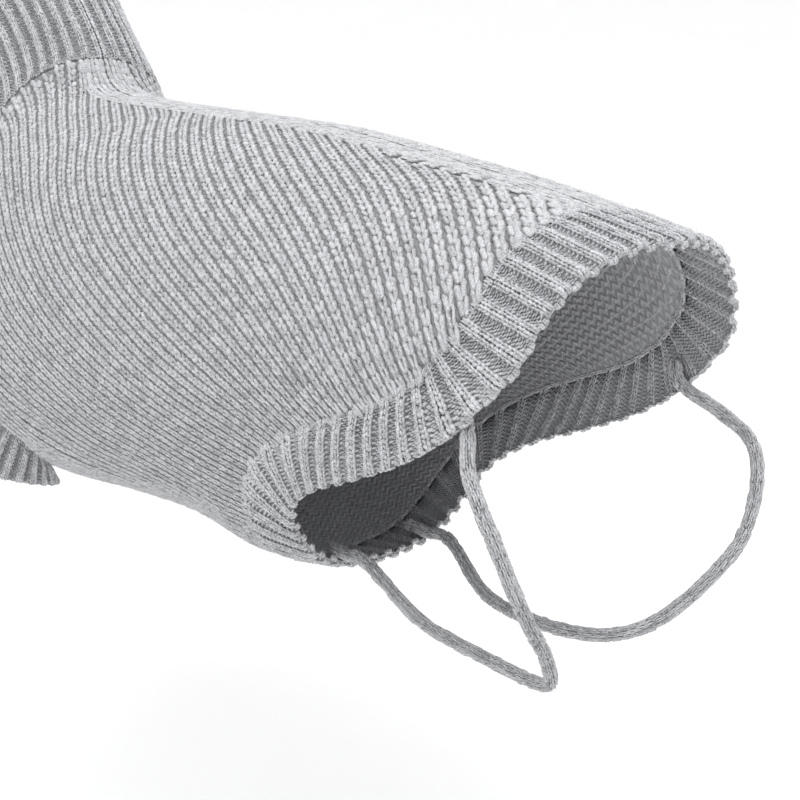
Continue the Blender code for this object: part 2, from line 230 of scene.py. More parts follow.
def fold_height(x, angle):
    """Height of the folds at places on the cloth."""
    height = np.zeros(np.shape(x))
    for fold_x, fold_angle, length, width, turn, rise in FOLDS:
        along = x - fold_x
        around = ((angle - fold_angle + 180) % 360 - 180) * MM_PER_DEGREE
        cosine, sine = math.cos(math.radians(turn)), math.sin(math.radians(turn))
        run = (along * cosine - around * sine) / length
        cross = (along * sine + around * cosine) / width
        height += rise * np.exp(-(run**2) - cross**2)
    return height


def skin(section, angle, lift=0.0):
    """Points at a height above (or, if negative, below) the folded outside of the cloth."""
    section, angle = np.broadcast_arrays(np.asarray(section, float), np.asarray(angle, float))
    place = outside(section, angle)
    lift = lift + fold_height(place[..., 0], angle)
    return place + outward(section, angle) * lift[..., None]


def section_at(x, angle):
    """The section whose point at this angle has this x, for arrays of the same shape."""
    trial = np.linspace(0.0, NECK_SECTION, FINE_STEPS)
    found = [np.interp(a, outside(trial, b)[:, 0], trial) for a, b in zip(x, angle)]
    return np.array(found)


def rib_counts():
    """Rows of TRIM in small steps, and the ribs from the top of the back to each of them."""
    rows = np.linspace(0, len(TRIM) - 1, FINE_STEPS)
    table = spline(TRIM, rows)
    hem = outside(section_at(table[:, 1], table[:, 0]), table[:, 0])
    step = np.linalg.norm(np.diff(hem, axis=0), axis=1)
    ribs = np.concatenate([[0.0], np.cumsum(step / table[1:, 5])])
    return rows, ribs * HEM_RIBS / 2 / ribs[-1]


def seam_line():
    """Section and angle where each whole rib meets the body, half way round from the top."""
    rows, ribs = rib_counts()
    row = np.interp(np.arange(HEM_RIBS // 2 + 1), ribs, rows)
    table = spline(TRIM, np.clip(row - spline(TRIM, row)[:, 4], 0, None))
    return section_at(table[:, 3], table[:, 2]), table[:, 2]


# ---- lattice of stitches

def wale_turn(x, angle):
    """The wales' turn at places on the left half, in radians, blended from WALE_TURN."""
    rows = np.array(WALE_TURN)
    gap = (x[..., None] - rows[:, 0]) ** 2 + ((angle[..., None] - rows[:, 1]) * MM_PER_DEGREE) ** 2
    weight = np.exp(-gap / (2 * TURN_REACH**2)) + FAR_WEIGHT / (gap + FAR_REACH)
    return np.radians((weight * rows[:, 2]).sum(-1) / weight.sum(-1))


def solve_grid(points, target, level=None, fixed=None):
    """The field on a grid of points whose slope is nearest to target, by conjugate gradients.

    target holds a slope vector at each point. level is how firmly the last column keeps one
    value, and fixed holds values for the first column.
    """
    steps, weights = [], []
    for axis in (0, 1):
        after, before = range(1, points.shape[axis]), range(points.shape[axis] - 1)
        run = np.take(points, after, axis) - np.take(points, before, axis)
        slope = 0.5 * (np.take(target, after, axis) + np.take(target, before, axis))
        steps.append((run * slope).sum(-1))
        weights.append(1.0 / np.linalg.norm(run, axis=-1))
    if level:
        weights[0][:, -1] *= level
        steps[0][:, -1] = 0.0
    free = np.ones(points.shape[:2], bool)
    field = np.zeros(points.shape[:2])
    if fixed is not None:
        free[:, 0] = False
        field[:, 0] = fixed

    def gathered(rows, columns, sign):
        """Values on the grid's edges added up at its points, times sign at an edge's start."""
        out = np.zeros(points.shape[:2])
        out[1:] += rows
        out[:-1] += sign * rows
        out[:, 1:] += columns
        out[:, :-1] += sign * columns
        return out

    def stiffness(trial):
        rows, columns = np.diff(trial, axis=0), np.diff(trial, axis=1)
        return gathered(weights[0] * rows, weights[1] * columns, -1) * free

    diagonal = gathered(*weights, 1)
    wanted = gathered(weights[0] * steps[0], weights[1] * steps[1], -1) * free
    residual = wanted - stiffness(field)
    ready = residual / diagonal
    search = ready.copy()
    score = (residual * ready).sum()
    for _ in range(SOLVER_STEPS):
        pushed = stiffness(search)
        move = score / max((search * pushed).sum(), 1e-30)
        field += move * search
        residual -= move * pushed
        ready = residual / diagonal
        better = (residual * ready).sum()
        if better < SOLVED:
            break
        search = ready + (better / score) * search
        score = better
    return field


def left_grid():
    """Sections, angles and points of a grid over the left half, from the strip to the belly."""
    seam_section, seam_angle = seam_line()
    angle = np.linspace(STRIP_HALF_ANGLE, 180.0, GRID_COLUMNS)
    start = np.interp(angle, seam_angle, seam_section)
    share = np.linspace(0.0, 1.0, GRID_ROWS)[:, None]
    section = start + share * (NECK_SECTION - start)
    angle = np.broadcast_to(angle, section.shape)
    return section, angle, skin(section, angle)


def strip_course():
    """Sections along the back and the count of courses back to each, from the neck."""
    section = np.linspace(0.0, NECK_SECTION, FINE_STEPS)
    line = skin(section, np.full(FINE_STEPS, STRIP_HALF_ANGLE))
    length = run_along(line)
    return section, (length[-1] - length) / COURSE


def flank_fields(section, angle, points):
    """Wale and course counts on the grid. Wales are whole numbers, courses grow to the tail."""
    normal = outward(section, angle)
    forward = unit(np.array([1.0, 0.0, 0.0]) - normal * normal[..., :1])
    down = np.cross(normal, forward)
    turn = wale_turn(points[..., 0], angle)[..., None]
    along = -np.cos(turn) * forward + np.sin(turn) * down
    across = np.sin(turn) * forward + np.cos(turn) * down
    wales = solve_grid(points, across / WALE, level=BELLY_LEVEL)
    wales += 0.5 - wales[:, -1].mean() + np.round(wales[:, -1].mean() - wales[:, 0].mean())
    strip_sections, strip_courses = strip_course()
    fixed = np.interp(section[:, 0], strip_sections, strip_courses)
    courses = solve_grid(points, along / COURSE, fixed=fixed)
    return wales, courses


def lattice_points(wales, courses):
    """Grid rows and columns of every stitch: each whole wale and course, triangle by triangle."""
    rows, columns = wales.shape
    base_row, base_column = np.meshgrid(np.arange(rows - 1), np.arange(columns - 1), indexing="ij")
    found = []
    for corners in (((0, 0), (1, 0), (1, 1)), ((0, 0), (1, 1), (0, 1))):
        w, c = [
            [field[a : rows - 1 + a, b : columns - 1 + b] for a, b in corners]
            for field in (wales, courses)
        ]
        area = (w[1] - w[0]) * (c[2] - c[0]) - (w[2] - w[0]) * (c[1] - c[0])
        for more_w in (0, 1):
            for more_c in (0, 1):
                near_w = np.ceil(np.minimum(np.minimum(w[0], w[1]), w[2])) + more_w - w[0]
                near_c = np.ceil(np.minimum(np.minimum(c[0], c[1]), c[2])) + more_c - c[0]
                s = (near_w * (c[2] - c[0]) - near_c * (w[2] - w[0])) / area
                t = (near_c * (w[1] - w[0]) - near_w * (c[1] - c[0])) / area
                hit = (s >= 0) & (t >= 0) & (s + t < 1)
                row = base_row + s * corners[1][0] + t * corners[2][0]
                column = base_column + s * corners[1][1] + t * corners[2][1]
                found.append(np.stack([row[hit], column[hit]], -1))
    return np.concatenate(found)


def sample(grid, place):
    """Values of a grid at fractional rows and columns."""
    row = np.clip(place[:, 0], 0, grid.shape[0] - 1.001)
    column = np.clip(place[:, 1], 0, grid.shape[1] - 1.001)
    i, j = row.astype(int), column.astype(int)
    shape = (len(place),) + (1,) * (grid.ndim - 2)
    s, t = (row - i).reshape(shape), (column - j).reshape(shape)
    low = grid[i, j] * (1 - t) + grid[i, j + 1] * t
    high = grid[i + 1, j] * (1 - t) + grid[i + 1, j + 1] * t
    return low * (1 - s) + high * s


def skin_normal(section, angle):
    """Unit normals of the folded skin."""
    return outward(section, angle, skin, FOLDED_TURN)


def leg_sections(length):
    """How many sections a length in mm takes up at the front leg opening."""
    step = np.linalg.norm(outside(LEG_SECTION + 0.1, LEG_ANGLE) - outside(LEG_SECTION, LEG_ANGLE))
    return length * 0.1 / step


def leg_distance(section, angle):
    """Distance on the left half from the centre of the front leg opening, 1 at its rim."""
    along = (section - LEG_SECTION) / leg_sections(LEG_HALF_LENGTH)
    return np.hypot(along, (angle - LEG_ANGLE) / LEG_HALF_ARC)


class Stitches:
    """Places for stitches: points, the steps to the next wale and course, and normals."""

    def __init__(self, point, wale, course, normal):
        normal = unit(normal)
        self.point = point
        self.wale = wale - normal * (wale * normal).sum(-1, keepdims=True)
        self.course = course - normal * (course * normal).sum(-1, keepdims=True)
        self.normal = normal

    def __len__(self):
        return len(self.point)

    def only(self, keep):
        return Stitches(self.point[keep], self.wale[keep], self.course[keep], self.normal[keep])


def flank_stitches(grid, wales, courses, side):
    """The stitches of one flank and their sections and angles. side is 1 on the left."""
    section, angle, points = grid
    place = lattice_points(wales, courses)
    w_row, w_column = np.gradient(wales)
    c_row, c_column = np.gradient(courses)
    area = w_row * c_column - w_column * c_row
    by_row, by_column = np.gradient(points, axis=0), np.gradient(points, axis=1)
    wale = by_row * (c_column / area)[..., None] - by_column * (c_row / area)[..., None]
    course = by_column * (w_row / area)[..., None] - by_row * (w_column / area)[..., None]
    section, angle = sample(section, place), sample(angle, place)
    mirror = np.array([1.0, side, 1.0])
    turned = angle if side > 0 else 360.0 - angle
    made = Stitches(
        skin(section, turned),
        sample(wale, place) * mirror,
        sample(course, place) * mirror,
        skin_normal(section, turned),
    )
    return made, section, angle


def strip_stitches(first=0, every=1, wale=None):
    """The straight wales along the top of the back, or every so many stitches of some wales."""
    sections, counts = strip_course()
    start = np.interp(0.0, seam_line()[1], seam_line()[0])
    last = np.interp(start, sections, counts)
    course = np.arange(0.5 + first, last - 0.3, every)
    section = np.interp(course, counts[::-1], sections[::-1])
    if wale is None:
        wale = (np.arange(-STRIP_WALES, STRIP_WALES) + 0.5) / STRIP_WALES
    section, wale = [grid.ravel() for grid in np.meshgrid(section, wale, indexing="ij")]
    angle = wale * STRIP_HALF_ANGLE
    step = STRIP_HALF_ANGLE / STRIP_WALES
    across = skin(section, angle + step / 2) - skin(section, angle - step / 2)
    along = skin(section - SECTION_STEP, angle) - skin(section + SECTION_STEP, angle)
    return Stitches(skin(section, angle), across, unit(along) * COURSE, skin_normal(section, angle))


# ---- grains of yarn

# Where a grain's two rings are, and their points, as shares of its half width and height.
RING_SHARES = (0.2, 0.79)
ROUND = ((1.0, 0.0), (0.0, 1.0), (-1.0, 0.0))
FLAT = ((1.0, 0.0), (0.4, 0.92), (-0.4, 0.92), (-1.0, 0.0))
# How much the grains differ: their feet and heads in wales and courses, the share of their
# width, and their height in mm.
FOOT_JITTER, HEAD_JITTER = (0.025, 0.05), (0.03, 0.05)
WIDTH_JITTER = 0.13
LIFT_JITTER = 0.12


class Grain:
    """A leg of yarn from a foot to a head, in steps of the wale and course, and its heights.

    half is its half width in wales. crest, side and tip are the heights in mm of its top, its
    sides and its ends.
    """

    def __init__(self, foot, head, half, crest=0.12, side=-0.5, tip=-0.5):
        self.foot, self.head, self.half = foot, head, half
        self.crest, self.side, self.tip = crest, side, tip


def grain_points(stitches, grain, rng, profile):
    """Points (stitch, point, 3) of one grain on every stitch, and their yarn values."""
    count = len(stitches)
    wale_length = np.linalg.norm(stitches.wale, axis=-1, keepdims=True)

    def jitter(size):
        return rng.normal(0.0, size, (count, 1))

    foot_w, foot_c = [at + jitter(size) for at, size in zip(grain.foot, FOOT_JITTER)]
    head_w, head_c = [at + jitter(size) for at, size in zip(grain.head, HEAD_JITTER)]
    foot = stitches.wale * foot_w + stitches.course * foot_c
    head = stitches.wale * head_w + stitches.course * head_c
    across = unit(np.cross(stitches.normal, head - foot))
    half = grain.half * wale_length * (1 + jitter(WIDTH_JITTER))
    lift = jitter(LIFT_JITTER)
    points = [stitches.point + foot + stitches.normal * grain.tip]
    yarn = [(0.0, 0.0)]
    for share in RING_SHARES:
        centre = stitches.point + foot + (head - foot) * share
        for sideways, rise in profile:
            height = grain.side + (grain.crest - grain.side + lift) * rise
            points.append(centre + across * half * sideways + stitches.normal * height)
            yarn.append((share, sideways))
    points.append(stitches.point + head + stitches.normal * grain.tip)
    yarn.append((1.0, 0.0))
    tone = rng.random((count, 1, 1))
    values = np.broadcast_to(np.array(yarn)[None], (count, len(yarn), 2))
    values = np.concatenate([np.broadcast_to(tone, (count, len(yarn), 1)), values], -1)
    return np.stack(points, 1), values


def grain_triangles(count):
    """Triangles of a grain: a tip, two rings of this many points, and a tip."""
    faces = []
    for k in range(count):
        first, after = 1 + k, 1 + (k + 1) % count
        faces.append((0, after, first))
        faces.append((first, after, count + after))
        faces.append((first, count + after, count + first))
        faces.append((count + first, count + after, 1 + 2 * count))
    return np.array(faces)


def link(mesh, name, material):
    """The mesh as a piece of the garment."""
    piece = bpy.data.objects.new(name, mesh)
    bpy.context.scene.collection.objects.link(piece)
    piece.data.materials.append(material)
    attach(piece, "root")
    return piece


def fast_mesh(name, points, triangles):
    mesh = bpy.data.meshes.new(name)
    mesh.vertices.add(len(points))
    mesh.vertices.foreach_set("co", (points * MM).astype(np.float32).ravel())
    mesh.loops.add(triangles.size)
    mesh.loops.foreach_set("vertex_index", triangles.astype(np.int32).ravel())
    mesh.polygons.add(len(triangles))
    mesh.polygons.foreach_set("loop_start", np.arange(0, triangles.size, 3, dtype=np.int32))
    mesh.update(calc_edges=True)
    mesh.shade_smooth()
    return mesh


def add_vectors(mesh, name, values):
    layer = mesh.attributes.new(name, "FLOAT_VECTOR", "POINT")
    layer.data.foreach_set("vector", np.asarray(values, np.float32).ravel())


def facing_out(points, faces):
    """The faces of a closed form, turned over if they face inwards."""
    corners = points[faces]
    volume = (corners[:, 0] * np.cross(corners[:, 1], corners[:, 2])).sum()
    return faces if volume > 0 else faces[:, ::-1]


def many_piece(name, points, template, values, material):
    """A piece of many small closed forms (form, point, 3) with the same triangles."""
    corners = (points - points[:, :1])[:, template]
    volume = (corners[:, :, 0] * np.cross(corners[:, :, 1], corners[:, :, 2])).sum((-1, -2))
    faces = np.arange(len(points))[:, None, None] * points.shape[1] + template[None]
    faces[volume < 0] = faces[volume < 0][:, :, ::-1]
    mesh = fast_mesh(name, points.reshape(-1, 3), faces.reshape(-1, 3))
    add_vectors(mesh, "yarn", values.reshape(-1, 3))
    return link(mesh, name, material)


def knit_piece(name, parts, material, seed, profile=ROUND):
    """One mesh of all the grains. parts is a list of (stitches, their grains)."""
    rng = np.random.default_rng(seed)
    made = [
        grain_points(stitches, grain, rng, profile)
        for stitches, grains in parts
        for grain in grains
    ]
    points, values = map(np.concatenate, zip(*made))
    return many_piece(name, points, grain_triangles(len(profile)), values, material)


# A fibre's foot is a triangle, this far from its middle in mm and this wide for its height.
FIBRE_HALF = 0.06
FIBRE_SPREAD = 1.7
FIBRE_LENGTH = (0.9, 2.8)
FIBRE_LIFT = (0.05, 0.8)


def fibre_piece(name, stitches, share, material, seed):
    """Loose fibres, share to a stitch: thin closed spikes that lean off the cloth."""
    rng = np.random.default_rng(seed)
    count = int(len(stitches) * share)
    stitches = stitches.only(rng.integers(0, len(stitches), count))

    def spread(low, high):
        return rng.uniform(low, high, (count, 1))

    base = stitches.point + stitches.wale * spread(-0.5, 0.5) + stitches.course * spread(-0.5, 0.5)
    turn = spread(0, 2 * math.pi)
    lean = unit(stitches.wale) * np.cos(turn) + unit(stitches.course) * np.sin(turn)
    direction = unit(lean + stitches.normal * spread(*FIBRE_LIFT))
    first = unit(np.cross(direction, stitches.normal))
    second = FIBRE_SPREAD * np.cross(direction, first)
    points = [base + first * FIBRE_HALF]
    points += [base - (first - side * second) * FIBRE_HALF / 2 for side in (1, -1)]
    points.append(base + direction * spread(*FIBRE_LENGTH))
    template = np.array([(0, 1, 2), (0, 3, 1), (1, 3, 2), (2, 3, 0)])
    values = np.ones((count, 4, 3))
    return many_piece(name, np.stack(points, 1), template, values, material)


def knit_stitch(spread, foot, reach, half, **heights):
    """The two legs of a knit stitch: a V whose feet, near the wale's line, are to the tail.

    spread and foot are how far the heads and the feet are from that line, in wales, and reach
    how far they are up and down from the middle, in courses.
    """
    return [
        Grain((side * foot, reach), (side * spread, -reach), half, **heights) for side in (-1, 1)
    ]


FLANK_LEGS = knit_stitch(0.29, 0.07, 0.68, 0.245, crest=0.16, side=-0.45, tip=-0.32)
STRIP_LEGS = knit_stitch(0.27, 0.21, 0.72, 0.28, crest=0.02, side=-0.3, tip=-0.2)
# A dark grain sunk in the gap beside a mark: painted shade of the hole there.
MARK_HOLE_SHADE_GRAIN = Grain((0.0, 0.75), (0.0, -0.65), 0.22, crest=-0.05, side=-0.4, tip=-0.3)
PURL_BACK = {"crest": 0.42, "side": -0.3, "tip": -0.3}
BACK_BUMP = (
    Grain((-0.5, 0.05), (0.02, 0.42), 0.15, **PURL_BACK),
    Grain((-0.02, 0.42), (0.5, 0.05), 0.15, **PURL_BACK),
)
RIB_HEIGHTS = {"crest": 0.22, "side": -0.5, "tip": -0.4}
RIB_LEGS = knit_stitch(0.30, 0.09, 0.66, 0.235, **RIB_HEIGHTS)
RIB_INNER_LEGS = knit_stitch(0.30, 0.15, 0.72, 0.24, **RIB_HEIGHTS)
PURL_BAR = [Grain((-0.52, 0.14), (0.52, -0.14), 0.23, crest=0.28, side=-0.4, tip=-0.4)]
SEAM_LEGS = knit_stitch(0.28, 0.08, 0.8, 0.25, crest=0.3)
EDGE_LEGS = knit_stitch(0.24, 0.24, 0.62, 0.36, crest=0.3, side=-0.5, tip=-0.4)
ROLLED_LEGS = knit_stitch(0.28, 0.1, 0.55, 0.25, crest=0.3, side=-0.5)
SEAM_CHAIN_LEGS = knit_stitch(0.27, 0.1, 0.7, 0.24, crest=0.35, side=-0.4, tip=-0.3)
STRAP_LEGS = knit_stitch(0.36, 0.08, 0.72, 0.22, crest=0.3, side=-0.4, tip=-0.4)


# ---- cloth under the stitches


def loft(name, rings, material, lattice=None):
    """A closed cloth from a loop of rings: out along the outside and back along the inside."""
    rings = np.asarray(rings)
    count, columns = rings.shape[:2]
    ring, column = np.meshgrid(np.arange(count), np.arange(columns), indexing="ij")
    next_ring, next_column = (ring + 1) % count, (column + 1) % columns
    quads = [
        ring * columns + column,
        ring * columns + next_column,
        next_ring * columns + next_column,
        next_ring * columns + column,
    ]
    quads = np.stack(quads, -1).reshape(-1, 4)
    triangles = np.concatenate([quads[:, [0, 1, 2]], quads[:, [0, 2, 3]]])
    points = rings.reshape(-1, 3)
    mesh = fast_mesh(name, points, facing_out(points, triangles))
    if lattice is not None:
        add_vectors(mesh, "lattice", lattice)
    return link(mesh, name, material)


def tube_mesh(name, rings):
    """A tube of rings with its first and last shut to their middles."""
    count, columns = rings.shape[:2]
    faces = []
    for j in range(columns):
        k = (j + 1) % columns
        for i in range(0, (count - 1) * columns, columns):
            faces += [(i + j, i + k, i + columns + k), (i + j, i + columns + k, i + columns + j)]
        last = (count - 1) * columns
        faces += [(k, j, count * columns), (last + j, last + k, count * columns + 1)]
    points = np.concatenate([rings.reshape(-1, 3), [rings[0].mean(0), rings[-1].mean(0)]])
    return fast_mesh(name, points, facing_out(points, np.array(faces)))


def applied(piece):
    """The piece with its modifiers made part of its mesh."""
    graph = bpy.context.evaluated_depsgraph_get()
    mesh = bpy.data.meshes.new_from_object(piece.evaluated_get(graph))
    piece.modifiers.clear()
    piece.data = mesh
    return piece


def leg_ring(side, inset, lift, columns):
    """A ring round a front leg opening, pulled in by inset mm and lifted off the cloth."""
    turn = np.asarray(columns) * 2 * math.pi / CUFF_RIBS
    arc = np.linalg.norm(outside(LEG_SECTION, LEG_ANGLE + 1) - outside(LEG_SECTION, LEG_ANGLE))
    half_sections = leg_sections(LEG_HALF_LENGTH - inset)
    half_angle = LEG_HALF_ARC - inset / arc
    section = LEG_SECTION + half_sections * np.cos(turn)
    angle = side * (LEG_ANGLE - half_angle * np.sin(turn))
    return skin(section, angle, lift)


def leg_plug(side):
    """A closed plug through the cloth at a front leg opening."""
    columns = np.arange(0, CUFF_RIBS, 0.5)
    rings = [leg_ring(side, 0.0, lift, columns) for lift in PLUG_LIFTS]
    plug = bpy.data.objects.new("plug", tube_mesh("plug", np.array(rings)))
    bpy.context.scene.collection.objects.link(plug)
    return plug


BODY_CLOTH_LIFT = -0.58
BODY_CLOTH_ROWS = 48
BODY_CLOTH_STEP = 4
PLUG_LIFTS = (-8.0, 6.0)


def body_cloth(material, grid, wales, courses):
    """The plain cloth of the body, seen between the stitches and from inside."""
    rows = np.linspace(0, GRID_ROWS - 1, BODY_CLOTH_ROWS).round().astype(int)
    columns = np.arange(0, GRID_COLUMNS, BODY_CLOTH_STEP)
    columns[-1] = GRID_COLUMNS - 1
    section, angle, wale, course = [
        field[np.ix_(rows, columns)] for field in (grid[0], grid[1], wales, courses)
    ]

    def all_round(top, left, right):
        """A field on the strip, the left half and the right half, side by side."""
        return np.concatenate([np.broadcast_to(top, (len(rows), 3)), left, right[:, -2::-1]], 1)

    top_angle = np.linspace(-STRIP_HALF_ANGLE, STRIP_HALF_ANGLE, 5)[1:-1]
    top_wale = top_angle / STRIP_HALF_ANGLE * STRIP_WALES
    all_section = all_round(section[:, :1], section, section)
    all_angle = all_round(top_angle, angle, 360 - angle)
    outer = skin(all_section, all_angle, BODY_CLOTH_LIFT)
    inner = skin(all_section, all_angle, -BODY_WALL)
    all_wale = all_round(top_wale, wale, wale)
    # The third lattice value is 1 on the outside, which the cloth material darkens as painted
    # shade.
    lattice = np.stack([all_wale, all_round(course[:, :1], course, course), 1 + 0 * all_wale], -1)
    rings = np.concatenate([outer, inner[::-1]])
    lattice = np.concatenate([lattice, (lattice * [1.0, 1.0, 0.0])[::-1]])
    piece = loft("body_cloth", rings, material)
    plugs = [leg_plug(side) for side in (1, -1)]
    for plug in plugs:
        cut = piece.modifiers.new("opening", "BOOLEAN")
        cut.operation, cut.solver, cut.object = "DIFFERENCE", "EXACT", plug
    applied(piece)
    for plug in plugs:
        bpy.data.objects.remove(plug)
    tree = kdtree.KDTree(rings.size // 3)
    for index, point in enumerate(rings.reshape(-1, 3) * MM):
        tree.insert(point, index)
    tree.balance()
    nearest = [tree.find(vertex.co)[1] for vertex in piece.data.vertices]
    add_vectors(piece.data, "lattice", lattice.reshape(-1, 3)[nearest])
    return piece


# ---- ribbed pieces

# Where the wales are in a rib, in ribs from its crest, and where each starts, in courses.
KNIT_ROWS = [(at, 0.25) for at in (-0.155, 0.155)]
PURL_ROWS = [(at, 0.5) for at in (0.41, 0.59)] + [(at, 0.02) for at in (0.33, 0.5, 0.67)]
INNER_ROWS = [(at, 0.3) for at in (0.375, 0.625)]
FIRST_ROWS = [(at, -0.45) for at in (-0.375, -0.125, 0.125, 0.375)]
KNIT_WALE, RIB_WALE, FIRST_WALE = 0.30, 0.22, 0.25
EDGE_LINKS = 4
HALF_LINK = 0.5 / EDGE_LINKS
# Steps that slopes on a rib are measured over, in its length and in ribs.
SHARE_STEP, RIB_STEP = 0.02, 0.06
LAST_SHARE = 0.95
FEWEST_COURSES = 3
RIB_DEPTH = 1.95
RIB_CLOTH = -0.6
RIB_COLUMNS = (-0.41, -0.32, -0.2, 0.0, 0.2, 0.32, 0.41, 0.5)
CREST_TO, VALLEY_FROM = 0.13, 0.41
DENT_DEPTH, DENT_HALF = 0.5, 0.045
# A rib starts at a share of its height at a seam and is full this far from it, in mm.
SEAM_SHARE, SEAM_REACH = 0.3, 5.0
# It rounds down to a free edge by a drop in mm, from this far off.
EDGE_DROP, EDGE_REACH = 0.55, 1.6
EASED_ABOUT = 0.25
VALLEY = RIB_VALLEY + RIB_RELIEF - RIB_DEPTH
INNER_GROOVE = 1.2
ROLL_SHARE, ROLL_LIFT, ROLL_COURSE = 0.06, -0.15, 2.0
EDGE_CHAIN = {"lift": -1.25, "width": 1.5, "facing": 1, "relief": 0.75}
SEAM_CHAIN = {"lift": -2.3, "width": 2.4, "facing": 0, "relief": 0.0}


def rib_height(place):
    """Height of the ribbed surface at places counted in ribs."""
    off = np.abs((np.asarray(place) + 0.5) % 1.0 - 0.5)
    crest = 1 - smooth_step(CREST_TO, VALLEY_FROM, off)
    dent = DENT_DEPTH * np.exp(-((off / DENT_HALF) ** 2))
    return RIB_VALLEY + RIB_RELIEF - RIB_DEPTH * (1 - crest) - dent * crest


def eased(height, near, far):
    """Rib heights that start low at a seam, near mm from it, and round down to a free edge."""
    start = SEAM_SHARE + (1 - SEAM_SHARE) * smooth_step(0.0, SEAM_REACH, near)
    end = smooth_step(0.0, EDGE_REACH, far)
    return (height + EASED_ABOUT) * start - EASED_ABOUT - EDGE_DROP * (1 - end)


def rib_rows(surface, ribs, length, course, rows, wale=RIB_WALE, facing=1.0, first=False):
    """Stitches down every rib. rows has each wale's offset in ribs and its start in courses.

    surface(place, share, lift) gives points, length each rib's length in mm, and wale a
    stitch's width in ribs. facing is -1 for stitches on the inside, and first asks for the
    first of each wale only.
    """
    place, share, steps = [], [], []
    for offset, start in rows:
        for rib in range(ribs):
            count = max(int(round(length[rib] / course)), FEWEST_COURSES)
            made = 1 if first else count
            place.append(np.full(made, rib + offset))
            share.append((np.arange(made) + start) / count)
            steps.append(np.full(made, float(count)))
    place, share, steps = map(np.concatenate, (place, share, steps))
    across = surface(place + wale / 2, share) - surface(place - wale / 2, share)
    near, far = np.minimum(share - SHARE_STEP, LAST_SHARE), np.minimum(share + SHARE_STEP, 1.0)
    along = (surface(place, far) - surface(place, near)) / ((far - near) * steps)[:, None]
    flat = surface(place + RIB_STEP, share) - surface(place - RIB_STEP, share)
    normal = unit(np.cross(flat, along))
    out = surface(place, share, 1.0) - surface(place, share)
    normal *= np.sign((normal * out).sum(-1, keepdims=True)) * facing
    return Stitches(surface(place, share), across, along, normal)


def rolled_rows(surface, ribs, share):
    """The last stitch of every wale, turned over a free edge."""
    place = (np.arange(EDGE_LINKS * ribs) + 0.5) / EDGE_LINKS
    inner = np.full(len(place), abs(share - ROLL_SHARE))
    point = surface(place, np.full(len(place), share), ROLL_LIFT)
    across = surface(place + HALF_LINK, inner) - surface(place - HALF_LINK, inner)
    out = unit(surface(place, inner, 1.0) - surface(place, inner))
    end = unit(point - surface(place, inner, ROLL_LIFT))
    return Stitches(point, across, unit(end - out) * ROLL_COURSE, unit(end + out))


def edge_chain(surface, ribs, share, lift, width, facing, relief):
    """Links of a chain along an edge at a share, EDGE_LINKS to a rib, facing off the end.

    With facing 0 the chain faces the inside.
    """
    place = (np.arange(EDGE_LINKS * ribs) + 0.5) / EDGE_LINKS
    share = np.full(len(place), share)
    point = surface(place, share, lift, relief)
    ahead, behind = place + HALF_LINK, place - HALF_LINK
    across = surface(ahead, share, lift, relief) - surface(behind, share, lift, relief)
    out = unit(surface(place, share, lift + 1.0, relief) - point)
    end = unit(point - surface(place, np.full(len(place), 0.5), lift, relief))
    if facing:
        return Stitches(point, out * width, across, end)
    return Stitches(point, end * width, across, -out)


def inner_height(place):
    """Height of the inside of a ribbed piece: the purl valleys are its ridges."""
    return RIB_INSIDE + INNER_GROOVE * (rib_height(place) - VALLEY) / RIB_DEPTH


def rib_rings(surface, ribs, courses):
    """Rings of the cloth under a rib's stitches, for loft, with their wales and courses."""
    place = (np.arange(ribs)[:, None] + np.array(RIB_COLUMNS)).ravel()
    rings, lattice = [], []
    # outer is 1 on the outside, both for the rib relief and for the painted shade that the cloth
    # material gives it there.
    sides = ((CLOTH_SHARES, 1.0, RIB_CLOTH), (INSIDE_SHARES, 0.0, inner_height(place)))
    for shares, outer, height in sides:
        for share in np.array(shares)[:, None] + np.zeros(len(place)):
            rings.append(surface(place, share, height, outer))
            lattice.append(np.stack([place * 4, share * courses, np.full(len(place), outer)], -1))
    return rings, np.array(lattice)


def trim_surface():
    """surface(place, share, lift) of the hem trim, share 0 at the seam and 1 at the hem."""
    rows, ribs = rib_counts()
    half = HEM_RIBS // 2
    knots = np.arange(0, half + 0.01, 0.25)
    hem = spline(TRIM, np.interp(knots, ribs, rows))
    hem_section = section_at(hem[:, 1], hem[:, 0])
    seam_section, seam_angle = seam_line()
    whole = np.arange(half + 1)
    edge = outside(hem_section[::4], hem[::4, 0])
    run = np.linalg.norm(edge - outside(seam_section, seam_angle), axis=-1)

    def surface(place, share, lift=0.0, relief=1.0):
        turn = np.asarray(place, float) % HEM_RIBS
        left = turn <= half
        near = np.where(left, turn, HEM_RIBS - turn)
        a_section = np.interp(near, whole, seam_section)
        a_angle = np.interp(near, whole, seam_angle)
        b_section = np.interp(near, knots, hem_section)
        b_angle = np.interp(near, knots, hem[:, 0])
        section = a_section + (b_section - a_section) * share
        angle = a_angle + (b_angle - a_angle) * share
        angle = np.where(left, angle, 360.0 - angle)
        length = np.interp(near, whole, run)
        height = eased(rib_height(place), share * length, (1 - share) * length)
        return skin(section, angle, lift + relief * height)

    return surface


def collar_surface():
    """surface(place, share, lift) of the collar, share 0 at its free edge and 1 at the neck."""
    ends = outside([COLLAR_END_SECTION, NECK_SECTION], [90.0, 90.0])
    length = np.linalg.norm(ends[0] - ends[1])

    def surface(place, share, lift=0.0, relief=1.0):
        share = np.asarray(share, float)
        section = COLLAR_END_SECTION + (NECK_SECTION + NECK_TUCK - COLLAR_END_SECTION) * share
        angle = np.asarray(place, float) * 360.0 / COLLAR_RIBS
        height = eased(rib_height(place), (1 - share) * length, share * length)
        return skin(section, angle, lift + relief * height)

    return surface


